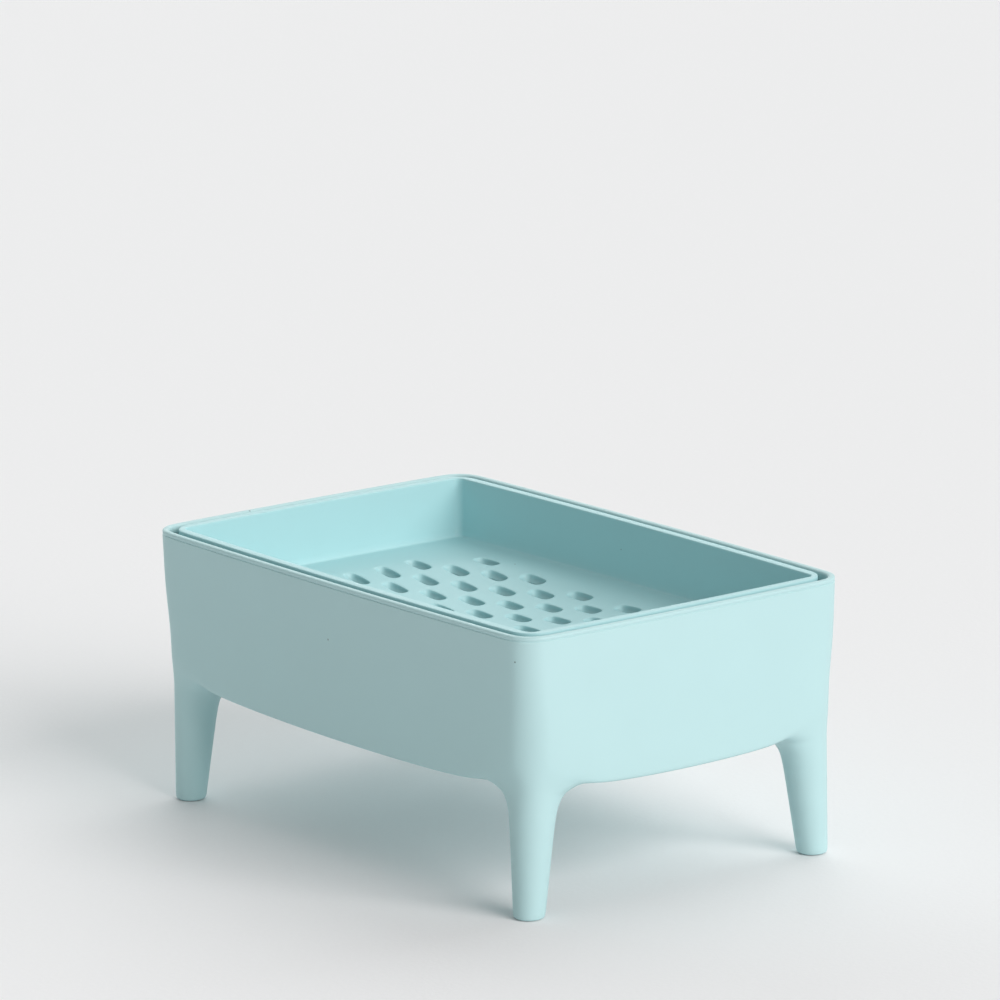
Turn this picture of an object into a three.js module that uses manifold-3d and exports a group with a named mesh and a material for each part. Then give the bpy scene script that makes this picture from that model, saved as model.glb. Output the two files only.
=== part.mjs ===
// Free-standing soap dish: a loose soap tray with drain scoops lies in a four-legged catch bowl.
// Millimetres, +Z up. The origin is on the table under the middle of the dish, X runs along its length.

import * as THREE from 'three';
import { mergeVertices } from 'three/addons/utils/BufferGeometryUtils.js';
import Module from 'manifold-3d';

const wasm = await Module();
wasm.setup();

// Overall sizes
const LENGTH = 130; // over the middle of the two short sides
const WIDTH = 85; // over the middle of the two long sides
const HEIGHT = 58.8; // table to rim

// Catch bowl
const SHORT_SIDE_BOW = 0.6; // how far the middle of a short side stands out past its ends
const LONG_SIDE_BOW = 1.0; // the same for a long side
const BOWL_DEPTH = 35; // rim to the lowest point of the underside
const BOWL_WALL = 1.6;
const BOWL_FLOOR = 2.0;
const BOWL_DRAFT = 0.8; // how far a wall leans in from the rim to the underside
const BOWL_RIM_ROUND = 0.7; // edge radius along the rim
const RIM_CORNER_RADIUS = 6.4; // upright corners, outside, at the rim
const RIM_INNER_CORNER_RADIUS = 5.2; // upright corners, inside, at the rim
const LEG_CORNER_RADIUS = 7.7; // upright corners, outside, where they run into the legs
const CORNER_EASE_START = 11.8; // below the rim, where the corner radius starts to grow
const CORNER_EASE_LENGTH = 10; // height over which it grows
const UNDERSIDE_RISE_SHORT = 2.0; // the underside curves up by this much to a short side
const UNDERSIDE_RISE_LONG = 2.5; // and by this much to a long side

// Legs
const FOOT_RADIUS = 3.2;
const FOOT_SETBACK_SHORT = 6.5; // from the middle of a short side in to the foot's middle
const FOOT_SETBACK_LONG = 5.6; // from the middle of a long side in to the foot's middle
const LEG_TOP_RADIUS = 5.0; // at the underside, before it swells into the corner
const LEG_SWELL = 7.0; // height over which the leg swells into the corner above it
const LEG_SKIN = 0.05; // how far the swollen top lies inside the bowl's skin

// Webs across the bowl's inner corners, which carry the tray
const SEAT_WEB = 1.6; // thickness
const SEAT_SETBACK = 12.4; // from the square inner corner to the web, along the diagonal
const SEAT_GAP = 0.3; // clearance between a web and the tray

// Soap tray
const TRAY_GAP = 1.2; // running clearance to the bowl's wall, all round
const TRAY_DEPTH = 13; // rim to the flat border of the floor
const TRAY_WALL = 2.0;
const TRAY_FLOOR = 2.0;
const TRAY_DRAFT = 0.5; // how far its walls lean in from rim to floor
const TRAY_RIM_ROUND = 0.8;
const TRAY_CORNER_RADIUS = 5.0;
const TRAY_INNER_CORNER_RADIUS = 1.5;
const DISH_SAG = 4.2; // how far the middle of the floor lies below its border
const DISH_MARGIN_SHORT = 9.9; // from a short wall to the edge of the dished part
const DISH_MARGIN_LONG = 2.5; // from a long wall to the edge of the dished part

// Drain scoops in staggered rows
const SCOOP_STEP_X = 8.05; // from one column to the next
const SCOOP_STEP_Y = 4.1; // from one row to the next
const SCOOP_MARGIN_X = 5.0; // from the dish's edge to the last column's middle
const SCOOP_MARGIN_Y = 6.0; // from the dish's edge to the last row's middle
const SCOOP_FIELD = 1.15; // scoops past this share of the dish's ellipse are left out
const SCOOP_WIDTH = 3.7;
const SCOOP_DEEP_END = 2.9; // from the scoop's middle to its steep end
const SCOOP_RAMP_TOP = 4.2; // from its middle to where the ramp meets the floor
const SCOOP_RAMP_FOOT = 2.9; // from its middle to where the ramp leaves the underside

// Fineness of the facets
const CORNER_STEPS = 6;
const LONG_SIDE_STEPS = 6;
const SHORT_SIDE_STEPS = 4;
const EASE_STEPS = 4;
const ROUND_STEPS = 2;
const LEG_SIDES = 20;
const SWELL_STEPS = 5;
const DISH_SPOKES = 24;
const DISH_RINGS = 3;
const DOME_RINGS = 5;
const SCOOP_SIDES = 8;
const OVERRUN = 1; // how far a cutting shape runs past the face that it cuts
const DOME_REACH = 1.2; // how far the dome of the underside is drawn, as a share of the bowl's corners
const DISH_REACH = 3; // how far the flat round the dish is drawn, as a share of the dish's ellipse
const WEB_REACH = 4; // length of a web before the walls cut it, as a share of its setback

const PLASTIC = { color: 0xa9d8da, roughness: 0.45, metalness: 0 };

// Derived levels
const undersideLevel = HEIGHT - BOWL_DEPTH;
const trayBorderLevel = HEIGHT - TRAY_DEPTH;
const traySeatLevel = trayBorderLevel - TRAY_FLOOR;
const trayInset = BOWL_WALL + TRAY_GAP;
const dishHalfLength = LENGTH / 2 - trayInset - TRAY_WALL - TRAY_DRAFT - DISH_MARGIN_SHORT;
const dishHalfWidth = WIDTH / 2 - trayInset - TRAY_WALL - TRAY_DRAFT - DISH_MARGIN_LONG;

// Solids and booleans
function solidFrom(geometry) {
  const bare = geometry.clone();
  bare.deleteAttribute('normal');
  bare.deleteAttribute('uv');
  const merged = mergeVertices(bare);
  return new wasm.Manifold(new wasm.Mesh({
    numProp: 3,
    vertProperties: new Float32Array(merged.attributes.position.array),
    triVerts: new Uint32Array(merged.index.array),
  }));
}

function meshFrom(name, solid) {
  const { vertProperties, triVerts } = solid.getMesh();
  const geometry = new THREE.BufferGeometry();
  geometry.setAttribute('position', new THREE.BufferAttribute(vertProperties, 3));
  geometry.setIndex(new THREE.BufferAttribute(triVerts, 1));
  geometry.computeVertexNormals();
  const mesh = new THREE.Mesh(geometry, new THREE.MeshStandardMaterial(PLASTIC));
  mesh.name = name;
  return mesh;
}

// A closed skin through rings of points, from the lowest ring to the highest, with a fan on each end.
function loft(rings, bottomPoint, topPoint) {
  const count = rings[0].length;
  const points = [...rings.flat(), bottomPoint, topPoint];
  const bottom = points.length - 2;
  const top = points.length - 1;
  const lastRing = (rings.length - 1) * count;
  const faces = [];
  for (let i = 0; i < count; i += 1) {
    const next = (i + 1) % count;
    faces.push(bottom, next, i);
    faces.push(top, lastRing + i, lastRing + next);
    for (let ring = 0; ring < lastRing; ring += count) {
      faces.push(ring + i, ring + next, ring + count + next);
      faces.push(ring + i, ring + count + next, ring + count + i);
    }
  }
  const geometry = new THREE.BufferGeometry().setFromPoints(points);
  geometry.setIndex(faces);
  return geometry;
}

// Plan outline of the dish, moved inwards by inset: bowed sides with rounded corners.
function outline(inset, radius) {
  const halfLength = LENGTH / 2 - SHORT_SIDE_BOW - inset;
  const halfWidth = WIDTH / 2 - LONG_SIDE_BOW - inset;
  const bow = (x, y) => new THREE.Vector2(
    x * (1 + (SHORT_SIDE_BOW / halfLength) * (1 - (y / halfWidth) ** 2)),
    y * (1 + (LONG_SIDE_BOW / halfWidth) * (1 - (x / halfLength) ** 2)),
  );
  const corners = [[1, 1], [-1, 1], [-1, -1], [1, -1]];
  const points = [];
  corners.forEach(([sideX, sideY], quarter) => {
    const middle = [sideX * (halfLength - radius), sideY * (halfWidth - radius)];
    for (let step = 0; step <= CORNER_STEPS; step += 1) {
      const angle = (quarter + step / CORNER_STEPS) * (Math.PI / 2);
      points.push([middle[0] + radius * Math.cos(angle), middle[1] + radius * Math.sin(angle)]);
    }
    const from = points.at(-1);
    const steps = quarter % 2 === 0 ? LONG_SIDE_STEPS : SHORT_SIDE_STEPS;
    const [nextX, nextY] = corners[(quarter + 1) % 4];
    const along = quarter % 2 === 0
      ? [nextX * (halfLength - radius), from[1]]
      : [from[0], nextY * (halfWidth - radius)];
    for (let step = 1; step < steps; step += 1) {
      const share = step / steps;
      points.push([from[0] + (along[0] - from[0]) * share, from[1] + (along[1] - from[1]) * share]);
    }
  });
  return points.map(([x, y]) => bow(x, y));
}

const ringAt = (inset, radius, z) => outline(inset, radius).map((p) => new THREE.Vector3(p.x, p.y, z));
const axisPoint = (z) => new THREE.Vector3(0, 0, z);

// A skin over sections, each with its inset, corner radius and height z, lowest first.
function wallSolid(sections) {
  const rings = sections.map(({ inset, radius, z }) => ringAt(inset, radius, z));
  return solidFrom(loft(rings, axisPoint(sections[0].z), axisPoint(sections.at(-1).z)));
}

// Sections round the outer edge of a rim: they move in by the edge radius as they reach the rim.
function roundedRim(inset, radius, edge) {
  return Array.from({ length: ROUND_STEPS + 1 }, (_, step) => {
    const angle = (step / ROUND_STEPS) * (Math.PI / 2);
    const shift = edge * (1 - Math.cos(angle));
    return { inset: inset + shift, radius: radius - shift, z: HEIGHT - edge * (1 - Math.sin(angle)) };
  });
}

// Sections of a hollow that opens out round the inner edge of a rim and runs on past it.
function openedRim(inset, radius, edge) {
  const sections = Array.from({ length: ROUND_STEPS + 1 }, (_, step) => {
    const angle = (step / ROUND_STEPS) * (Math.PI / 2);
    const shift = edge * (1 - Math.cos(angle));
    return { inset: inset - shift, radius: radius + shift, z: HEIGHT - edge * (1 - Math.sin(angle)) };
  });
  return [...sections, { ...sections.at(-1), z: HEIGHT + OVERRUN }];
}

// Everything below a dished surface: height is given for a share of the dish's ellipse, 0 in its middle.
function blockBelow(halfLength, halfWidth, shares, height, base) {
  const ring = (share, z) => Array.from({ length: DISH_SPOKES }, (_, spoke) => {
    const angle = (spoke / DISH_SPOKES) * Math.PI * 2;
    return new THREE.Vector3(halfLength * share * Math.cos(angle), halfWidth * share * Math.sin(angle), z);
  });
  const rings = shares.map((share) => ring(share, height(share)));
  return solidFrom(loft([ring(shares[0], base), ...rings], axisPoint(base), axisPoint(height(0))));
}

// Catch bowl: walls
const lean = (z) => BOWL_DRAFT * THREE.MathUtils.clamp((HEIGHT - z) / BOWL_DEPTH, 0, 1);

function cornerRadius(z) {
  const top = HEIGHT - CORNER_EASE_START;
  const share = THREE.MathUtils.smoothstep(top - z, 0, CORNER_EASE_LENGTH);
  return THREE.MathUtils.lerp(RIM_CORNER_RADIUS, LEG_CORNER_RADIUS, share);
}

const easeLevels = Array.from({ length: EASE_STEPS + 1 }, (_, step) => (
  HEIGHT - CORNER_EASE_START - CORNER_EASE_LENGTH * (1 - step / EASE_STEPS)
));

function bowlSections(inset, radiusStep, lowest) {
  return [lowest, ...easeLevels.filter((z) => z > lowest)].map((z) => (
    { inset: lean(z) + inset, radius: cornerRadius(z) - radiusStep, z }
  ));
}

// The underside is a shallow dome: it has risen by 1 mm on the ellipse of these half axes.
const domeReach = DOME_REACH * Math.sqrt(UNDERSIDE_RISE_SHORT + UNDERSIDE_RISE_LONG);
const domeShares = Array.from({ length: DOME_RINGS }, (_, ring) => domeReach * (1 - ring / DOME_RINGS));
const domeHalfLength = (LENGTH / 2) / Math.sqrt(UNDERSIDE_RISE_SHORT);
const domeHalfWidth = (WIDTH / 2) / Math.sqrt(UNDERSIDE_RISE_LONG);

function blockBelowDome(lift, base) {
  return blockBelow(domeHalfLength, domeHalfWidth, domeShares, (share) => (
    undersideLevel + lift + share ** 2
  ), base);
}

function underside(x, y) {
  return undersideLevel + (x / domeHalfLength) ** 2 + (y / domeHalfWidth) ** 2;
}

// Catch bowl: one leg, from its foot to the corner above it
const foot = new THREE.Vector2(LENGTH / 2 - FOOT_SETBACK_SHORT, WIDTH / 2 - FOOT_SETBACK_LONG);
const diagonal = new THREE.Vector2(1, 1).normalize();
const legCorner = new THREE.Vector2(
  LENGTH / 2 - SHORT_SIDE_BOW - BOWL_DRAFT - LEG_CORNER_RADIUS,
  WIDTH / 2 - LONG_SIDE_BOW - BOWL_DRAFT - LEG_CORNER_RADIUS,
).addScaledVector(diagonal, LEG_CORNER_RADIUS);
const legTop = legCorner.clone().addScaledVector(diagonal, -LEG_TOP_RADIUS - LEG_SKIN);
const legTopLevel = underside(legCorner.x - LEG_TOP_RADIUS, legCorner.y - LEG_TOP_RADIUS);

function legSection(z) {
  const share = Math.min(z / legTopLevel, 1);
  const rise = THREE.MathUtils.clamp((z - legTopLevel) / LEG_SWELL + 1, 0, 1);
  const swell = (LEG_CORNER_RADIUS - LEG_TOP_RADIUS) * (1 - Math.sqrt(1 - rise ** 2));
  const radius = THREE.MathUtils.lerp(FOOT_RADIUS, LEG_TOP_RADIUS, share) + swell;
  const middle = foot.clone().lerp(legTop, share).addScaledVector(diagonal, -swell);
  return { radius, middle };
}

function legSolid(sideX, sideY) {
  const pointAt = (offset, z) => {
    const { middle } = legSection(z);
    return new THREE.Vector3(sideX * middle.x + offset.x, sideY * middle.y + offset.y, z);
  };
  const ring = (z) => Array.from({ length: LEG_SIDES }, (_, side) => {
    const angle = (side / LEG_SIDES) * Math.PI * 2;
    const { radius } = legSection(z);
    return pointAt(new THREE.Vector2(Math.cos(angle), Math.sin(angle)).multiplyScalar(radius), z);
  });
  const swellLevels = Array.from({ length: SWELL_STEPS + 1 }, (_, step) => (
    legTopLevel - LEG_SWELL * (1 - Math.sin((step / SWELL_STEPS) * (Math.PI / 2)))
  ));
  const levels = [0, ...swellLevels, legTopLevel + BOWL_FLOOR / 2];
  const onAxis = new THREE.Vector2();
  return solidFrom(loft(levels.map(ring), pointAt(onAxis, 0), pointAt(onAxis, levels.at(-1))));
}

// Catch bowl: one web across an inner corner, on which the tray's corner rests
function seatWeb(sideX, sideY) {
  const top = traySeatLevel - SEAT_GAP;
  const height = top - undersideLevel;
  const corner = new THREE.Vector2(LENGTH / 2 - BOWL_WALL, WIDTH / 2 - BOWL_WALL);
  const middle = corner.addScaledVector(diagonal, -SEAT_SETBACK);
  const plate = new THREE.BoxGeometry(SEAT_SETBACK * WEB_REACH, SEAT_WEB, height);
  plate.rotateZ(-sideX * sideY * (Math.PI / 4));
  plate.translate(sideX * middle.x, sideY * middle.y, top - height / 2);
  return solidFrom(plate);
}

function catchBowl() {
  const below = undersideLevel - OVERRUN;
  const radiusStep = RIM_CORNER_RADIUS - RIM_INNER_CORNER_RADIUS;
  const skin = wallSolid([
    ...bowlSections(0, 0, below),
    ...roundedRim(lean(HEIGHT), RIM_CORNER_RADIUS, BOWL_RIM_ROUND),
  ]);
  const hollow = wallSolid([
    ...bowlSections(BOWL_WALL, radiusStep, below),
    ...openedRim(lean(HEIGHT) + BOWL_WALL, RIM_INNER_CORNER_RADIUS, BOWL_RIM_ROUND),
  ]).subtract(blockBelowDome(BOWL_FLOOR, below - OVERRUN));
  const webRoom = wallSolid(bowlSections(BOWL_WALL / 2, radiusStep / 2, below))
    .subtract(blockBelowDome(BOWL_FLOOR / 2, below - OVERRUN));
  let bowl = skin.subtract(blockBelowDome(0, below - OVERRUN));
  const corners = [[1, 1], [-1, 1], [-1, -1], [1, -1]];
  corners.forEach(([sideX, sideY]) => {
    bowl = bowl.add(legSolid(sideX, sideY));
  });
  bowl = bowl.subtract(hollow);
  corners.forEach(([sideX, sideY]) => {
    bowl = bowl.add(seatWeb(sideX, sideY).intersect(webRoom));
  });
  return bowl;
}

// Soap tray: its floor is flat along the walls and dished in the middle
function trayFloor(share) {
  return trayBorderLevel - DISH_SAG * Math.max(0, 1 - share ** 2);
}

const dishShares = [DISH_REACH, ...Array.from({ length: DISH_RINGS }, (_, ring) => 1 - ring / DISH_RINGS)];

function blockBelowTrayFloor(drop, base) {
  return blockBelow(dishHalfLength, dishHalfWidth, dishShares, (share) => trayFloor(share) - drop, base);
}

function traySections(inset, radius, lowest) {
  return [
    { inset: inset + TRAY_DRAFT, radius, z: lowest },
    { inset: inset + TRAY_DRAFT, radius, z: traySeatLevel },
  ];
}

// One scoop: steep at its +X end, with a ramp that runs down from its -X end
function scoopCut(x, y) {
  const floor = trayFloor(Math.hypot(x / dishHalfLength, y / dishHalfWidth));
  const rampRun = (SCOOP_RAMP_TOP - SCOOP_RAMP_FOOT) / TRAY_FLOOR;
  const ring = (z) => {
    const rampEnd = -SCOOP_RAMP_TOP - rampRun * (z - floor);
    const middle = (SCOOP_DEEP_END + rampEnd) / 2;
    const halfLength = (SCOOP_DEEP_END - rampEnd) / 2;
    return Array.from({ length: SCOOP_SIDES }, (_, side) => {
      const angle = ((side + 0.5) / SCOOP_SIDES) * Math.PI * 2;
      return new THREE.Vector3(
        x + middle + halfLength * Math.cos(angle),
        y + (SCOOP_WIDTH / 2) * Math.sin(angle),
        z,
      );
    });
  };
  const low = floor - TRAY_FLOOR - OVERRUN;
  const high = floor + OVERRUN;
  const onAxis = (z) => new THREE.Vector3(x, y, z);
  return solidFrom(loft([ring(low), ring(high)], onAxis(low), onAxis(high)));
}

function scoopPlaces() {
  const columns = Math.floor((dishHalfLength - SCOOP_MARGIN_X) / SCOOP_STEP_X + 0.5);
  const rows = Math.floor((dishHalfWidth - SCOOP_MARGIN_Y) / SCOOP_STEP_Y + 0.5);
  const places = [];
  for (let column = -columns; column < columns; column += 1) {
    for (let row = -rows; row < rows; row += 1) {
      const x = (column + 0.5) * SCOOP_STEP_X;
      const y = (row + 0.5) * SCOOP_STEP_Y;
      const staggered = (column + row) % 2 !== 0;
      const inField = (x / dishHalfLength) ** 2 + (y / dishHalfWidth) ** 2 <= SCOOP_FIELD;
      if (staggered && inField) places.push([x, y]);
    }
  }
  return places;
}

function soapTray() {
  const lowest = traySeatLevel - DISH_SAG - OVERRUN;
  const shell = wallSolid([
    ...traySections(trayInset, TRAY_CORNER_RADIUS, lowest),
    ...roundedRim(trayInset, TRAY_CORNER_RADIUS, TRAY_RIM_ROUND),
  ]);
  const hollow = wallSolid([
    ...traySections(trayInset + TRAY_WALL, TRAY_INNER_CORNER_RADIUS, lowest),
    ...openedRim(trayInset + TRAY_WALL, TRAY_INNER_CORNER_RADIUS, TRAY_RIM_ROUND),
  ]).subtract(blockBelowTrayFloor(0, lowest - OVERRUN));
  const tray = shell
    .subtract(blockBelowTrayFloor(TRAY_FLOOR, lowest - OVERRUN))
    .subtract(hollow);
  return scoopPlaces().reduce((cut, [x, y]) => cut.subtract(scoopCut(x, y)), tray);
}

const soapDish = new THREE.Group();
soapDish.name = 'soap_dish';
soapDish.add(meshFrom('catch_bowl', catchBowl()));
soapDish.add(meshFrom('soap_tray', soapTray()));

export default soapDish;
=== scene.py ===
"""Soap dish: a catch bowl on four legs, and the soap tray with drain scoops that lies in it.

Everything is in metres, +Z up. The origin is on the table under the middle of the dish, and X runs
along its length. Both mouldings are built as coarse quad meshes and rounded by subdivision.
"""

import math

import bmesh
import bpy
from bpy.props import FloatProperty, FloatVectorProperty, PointerProperty
from bpy.types import Operator, Panel, PropertyGroup
from mathutils import Matrix, Vector


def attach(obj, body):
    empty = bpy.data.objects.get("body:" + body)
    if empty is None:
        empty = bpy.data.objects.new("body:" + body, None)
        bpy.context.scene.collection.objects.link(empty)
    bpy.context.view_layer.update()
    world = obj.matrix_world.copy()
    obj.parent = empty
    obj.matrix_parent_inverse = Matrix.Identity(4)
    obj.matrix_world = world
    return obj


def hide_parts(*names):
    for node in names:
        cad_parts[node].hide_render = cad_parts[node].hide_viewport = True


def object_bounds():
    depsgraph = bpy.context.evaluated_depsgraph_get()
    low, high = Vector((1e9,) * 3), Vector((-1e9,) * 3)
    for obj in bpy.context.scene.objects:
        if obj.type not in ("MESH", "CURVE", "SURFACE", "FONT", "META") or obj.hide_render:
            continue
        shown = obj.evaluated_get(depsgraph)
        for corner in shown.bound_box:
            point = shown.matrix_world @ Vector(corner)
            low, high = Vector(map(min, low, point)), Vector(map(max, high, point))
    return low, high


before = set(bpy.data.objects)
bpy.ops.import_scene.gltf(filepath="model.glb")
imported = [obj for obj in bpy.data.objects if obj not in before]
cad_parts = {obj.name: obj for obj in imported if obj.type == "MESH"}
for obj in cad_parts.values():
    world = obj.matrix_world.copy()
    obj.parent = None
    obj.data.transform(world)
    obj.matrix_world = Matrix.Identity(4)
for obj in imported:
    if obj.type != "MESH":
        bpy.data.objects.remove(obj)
CAD_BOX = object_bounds()

bl_info = {
    "name": "Soap Dish",
    "version": (1, 0, 0),
    "blender": (4, 5, 0),
    "location": "View3D > Sidebar > Soap Dish",
    "description": "Models a soap tray in its catch bowl, with the studio stage around it",
    "category": "Add Mesh",
}

MM = 0.001


class CatchBowlSizes(PropertyGroup):
    """Sizes of the catch bowl"""

    depth: FloatProperty(
        name="Depth", description="Rim to the lowest point of the underside",
        default=35 * MM, unit="LENGTH")
    wall: FloatProperty(
        name="Wall", description="Thickness of the walls", default=1.6 * MM, unit="LENGTH")
    floor: FloatProperty(
        name="Floor", description="Thickness of the floor", default=2.0 * MM, unit="LENGTH")
    draft: FloatProperty(
        name="Draft", description="How far a wall leans in from the rim to the underside",
        default=0.8 * MM, unit="LENGTH")
    rim_corner: FloatProperty(
        name="Rim Corner", description="Radius of the upright corners at the rim",
        default=6.4 * MM, unit="LENGTH")
    leg_corner: FloatProperty(
        name="Leg Corner", description="Radius of the upright corners above the legs",
        default=7.7 * MM, unit="LENGTH")
    foot_radius: FloatProperty(
        name="Foot Radius", description="Radius of a leg on the table",
        default=3.2 * MM, unit="LENGTH")
    leg_taper: FloatProperty(
        name="Leg Taper", description="Growth of a leg's radius for each metre of height",
        default=0.069)
    seat_web: FloatProperty(
        name="Seat Web", description="Thickness of the webs that carry the tray",
        default=1.6 * MM, unit="LENGTH")
    seat_setback: FloatProperty(
        name="Seat Setback", description="Square inner corner to the web across it",
        default=12.4 * MM, unit="LENGTH")


class SoapTraySizes(PropertyGroup):
    """Sizes of the soap tray"""

    gap: FloatProperty(
        name="Gap", description="Clearance to the bowl's wall, all round",
        default=1.2 * MM, unit="LENGTH")
    depth: FloatProperty(
        name="Depth", description="Rim to the flat border of the floor",
        default=13 * MM, unit="LENGTH")
    wall: FloatProperty(
        name="Wall", description="Thickness of the walls", default=2.0 * MM, unit="LENGTH")
    floor: FloatProperty(
        name="Floor", description="Thickness of the floor", default=2.0 * MM, unit="LENGTH")
    draft: FloatProperty(
        name="Draft", description="How far its walls lean in from rim to floor",
        default=0.5 * MM, unit="LENGTH")
    corner: FloatProperty(
        name="Corner", description="Radius of the upright corners, outside",
        default=5.0 * MM, unit="LENGTH")
    inner_corner: FloatProperty(
        name="Inner Corner", description="Radius of the upright corners, inside",
        default=1.5 * MM, unit="LENGTH")
    sag: FloatProperty(
        name="Sag", description="How far the middle of the floor lies below its border",
        default=4.2 * MM, unit="LENGTH")
    scoop_step: FloatVectorProperty(
        name="Scoop Step", description="From one column or row of scoops to the next",
        size=2, default=(8.05 * MM, 4.1 * MM), unit="LENGTH")
    scoop_width: FloatProperty(
        name="Scoop Width", description="Width of a drain scoop",
        default=3.05 * MM, unit="LENGTH")


class DishFinish(PropertyGroup):
    """Colours and gloss of the plastic"""

    bowl_colour: FloatVectorProperty(
        name="Bowl", description="Colour of the catch bowl's plastic",
        subtype="COLOR", default=(0.460, 0.680, 0.695))
    # Same plastic as the bowl, given less red: painted shade that stands in for the deeper tone inside the
    # dish
    tray_colour_with_painted_shade: FloatVectorProperty(
        name="Tray", description="Colour of the soap tray's plastic",
        subtype="COLOR", default=(0.415, 0.680, 0.705))
    roughness: FloatProperty(
        name="Roughness", description="Satin gloss of the plastic",
        default=0.48, min=0.0, max=1.0, subtype="FACTOR")


class StudioSettings(PropertyGroup):
    """Camera, light and floor"""

    azimuth: FloatProperty(
        name="Azimuth", description="Turn of the camera round the dish",
        default=math.radians(52.487), subtype="ANGLE")
    elevation: FloatProperty(
        name="Elevation", description="Height of the camera as an angle",
        default=math.radians(12.942), subtype="ANGLE")
    roll: FloatProperty(
        name="Roll", description="Tilt of the camera about its own axis",
        default=math.radians(-0.746), subtype="ANGLE")
    distance: FloatProperty(
        name="Distance", description="Camera to the point that it looks at",
        default=1.411, unit="LENGTH")
    aim: FloatVectorProperty(
        name="Aim", description="Where the camera looks, right of and above the origin in its view",
        size=2, default=(0.74 * MM, 67.93 * MM), unit="LENGTH")
    lens: FloatProperty(
        name="Lens", description="Focal length in millimetres", default=242.79)
    floor_colour: FloatVectorProperty(
        name="Floor", description="Colour of the floor",
        subtype="COLOR", default=(0.895, 0.885, 0.892))
    window: FloatVectorProperty(
        name="Window", description="Main soft light: strength, turn, height, spread",
        size=4, default=(2.33, 8, 27, 42))
    side_wall: FloatVectorProperty(
        name="Side Wall", description="Light from the wall behind: strength, turn, height, spread",
        size=4, default=(0.90, 114, 44, 55))
    backdrop: FloatVectorProperty(
        name="Backdrop", description="Light from the lit backdrop: strength, turn, height, spread",
        size=4, default=(0.97, 162, 13, 55))
    warm_colour: FloatVectorProperty(
        name="Warm", description="Colour of the window light",
        subtype="COLOR", default=(1.0, 0.945, 0.935))
    cool_colour: FloatVectorProperty(
        name="Cool", description="Colour of the other lights",
        subtype="COLOR", default=(0.95, 1.0, 1.0))
    ambient: FloatProperty(
        name="Ambient", description="Strength of the light from all round", default=0.355)


class SoapDishSettings(PropertyGroup):
    """All settings of the soap dish"""

    bowl: PointerProperty(type=CatchBowlSizes)
    tray: PointerProperty(type=SoapTraySizes)
    finish: PointerProperty(type=DishFinish)
    studio: PointerProperty(type=StudioSettings)


# Plan of both mouldings: a lattice of places, bent into a bowed rectangle with round corners.
# A place is a column along X and a row along Y, both counted from the middle.
PLACE_LAYER = "place"
PLACE_BASE = 100  # a place is stored as one whole number: column times this, plus row
PLACE_MIDDLE = PLACE_BASE // 2

RIM_LEVEL = CAD_BOX[1].z
SHORT_SIDE_BOW = 0.6 * MM  # how far the middle of a short side stands out past its ends
LONG_SIDE_BOW = 1.0 * MM
HALF_LENGTH = CAD_BOX[1].x - SHORT_SIDE_BOW
HALF_WIDTH = CAD_BOX[1].y - LONG_SIDE_BOW
MERGE_DISTANCE = 0.005 * MM


def place_number(column, row):
    """One whole number for a place."""
    return (column + PLACE_MIDDLE) * PLACE_BASE + row + PLACE_MIDDLE


def place_of(number):
    """Column and row of a place."""
    column, row = divmod(number, PLACE_BASE)
    return column - PLACE_MIDDLE, row - PLACE_MIDDLE


def smooth_share(value):
    """0 below 0, 1 above 1 and a smooth ease between."""
    share = min(max(value, 0.0), 1.0)
    return share * share * (3 - 2 * share)


class Lattice:
    """Where the border places of a moulding's lattice lie in plan."""

    def __init__(self, columns, rows, arc_steps, hold):
        self.columns = columns  # places from the middle to a short side
        self.rows = rows  # places from the middle to a long side
        self.arc_steps = arc_steps  # places on half of a corner
        self.hold = hold  # from the end of a straight side to the place before it

    def on_border(self, column, row):
        """True for a place on the outline."""
        return abs(column) == self.columns or abs(row) == self.rows

    def along_side(self, step, steps, length):
        """How far a place lies from the middle of a straight side, whose half length is given."""
        return length if step == steps else (length - self.hold) * step / (steps - 1)

    def border(self, column, row, inset, radius):
        """Plan point of a border place on the outline that lies in by inset, with that corner radius."""
        half_length, half_width = HALF_LENGTH - inset, HALF_WIDTH - inset
        middle_x, middle_y = half_length - radius, half_width - radius
        straight_columns, straight_rows = self.columns - self.arc_steps, self.rows - self.arc_steps
        across, along = abs(column), abs(row)
        if along <= straight_rows:
            x, y = half_length, self.along_side(along, straight_rows, middle_y)
        elif across <= straight_columns:
            x, y = self.along_side(across, straight_columns, middle_x), half_width
        else:
            step = along - straight_rows + self.columns - across
            angle = math.pi / 4 * step / self.arc_steps
            x, y = middle_x + radius * math.cos(angle), middle_y + radius * math.sin(angle)
        bowed_x = x * (1 + SHORT_SIDE_BOW / half_length * (1 - (y / half_width) ** 2))
        bowed_y = y * (1 + LONG_SIDE_BOW / half_width * (1 - (x / half_length) ** 2))
        return math.copysign(bowed_x, column), math.copysign(bowed_y, row)


# Modelling helpers

def deselect_objects():
    """Leave edit mode and select nothing."""
    if bpy.context.object and bpy.context.object.mode != "OBJECT":
        bpy.ops.object.mode_set(mode="OBJECT")
    bpy.ops.object.select_all(action="DESELECT")


def begin_piece(name):
    """Name the primitive that was just added and open it for editing, with room for its places."""
    piece = bpy.context.object
    piece.name = name
    piece.data.name = name
    piece.data.attributes.new(PLACE_LAYER, "INT", "POINT")
    bpy.ops.object.mode_set(mode="EDIT")
    return piece


def edit_mesh(piece):
    """The open mesh of a piece and the layer that holds its places."""
    mesh = bmesh.from_edit_mesh(piece.data)
    return mesh, mesh.verts.layers.int[PLACE_LAYER]


def number_places(piece, place_at):
    """Give each selected vertex its place, found from its point."""
    mesh, layer = edit_mesh(piece)
    for vertex in mesh.verts:
        if vertex.select:
            vertex[layer] = place_number(*place_at(vertex.co))
    bmesh.update_edit_mesh(piece.data)


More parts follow.
